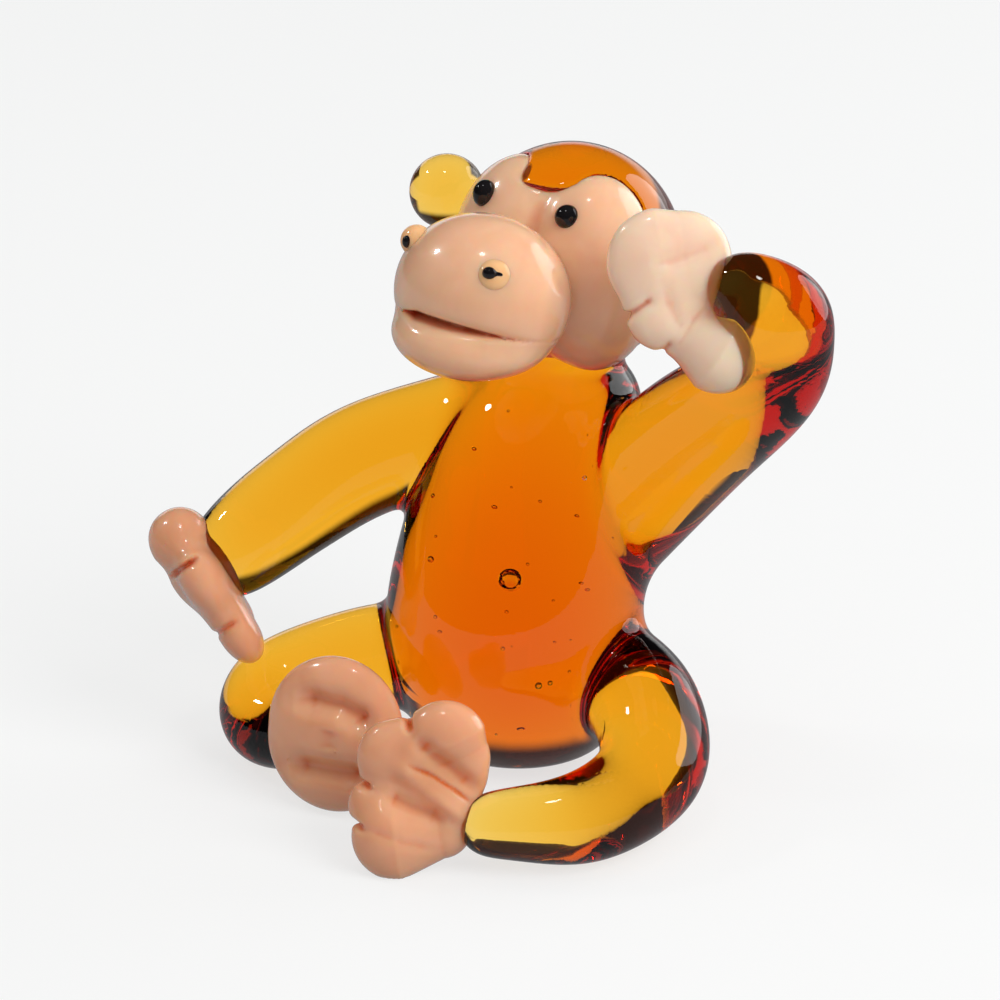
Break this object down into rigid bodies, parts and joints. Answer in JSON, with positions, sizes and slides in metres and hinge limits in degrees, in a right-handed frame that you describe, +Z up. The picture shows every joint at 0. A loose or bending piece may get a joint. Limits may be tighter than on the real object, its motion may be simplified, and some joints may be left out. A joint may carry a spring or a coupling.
{
  "type": "monkey figurine",
  "caption": "Small seated glass monkey figurine with amber body and limbs, flesh-coloured face, hands and feet, one hand raised beside its ear.",
  "frame": {"origin": "middle of the small flat seat that the torso rests on", "axes": "+Z up, the monkey faces -Y, its own left side is +X"},
  "size_m": [0.0545, 0.0433, 0.0512],
  "materials": {
    "amber_glass": "clear deep amber glass, fire polished, with a few air bubbles",
    "flesh_glass": "opaque flesh-pink glass, fire polished and glossy",
    "clear_glass": "clear straw-tinted glass bead, glossy",
    "black_glass": "opaque black glass, glossy"
  },
  "bodies": {
    "root": {"torso": "amber_glass", "head": "amber_glass", "right_ear": "amber_glass", "left_ear": "amber_glass", "right_face_pad": "flesh_glass", "left_face_pad": "flesh_glass", "muzzle": "flesh_glass", "right_nostril_bead": "clear_glass", "left_nostril_bead": "clear_glass", "right_nostril": "black_glass", "left_nostril": "black_glass", "right_eye": "black_glass", "left_eye": "black_glass", "right_arm": "amber_glass", "left_arm": "amber_glass", "right_hand": "flesh_glass", "left_hand": "flesh_glass", "right_leg": "amber_glass", "left_leg": "amber_glass", "right_foot": "flesh_glass", "left_foot": "flesh_glass"}
  },
  "joints": []
}
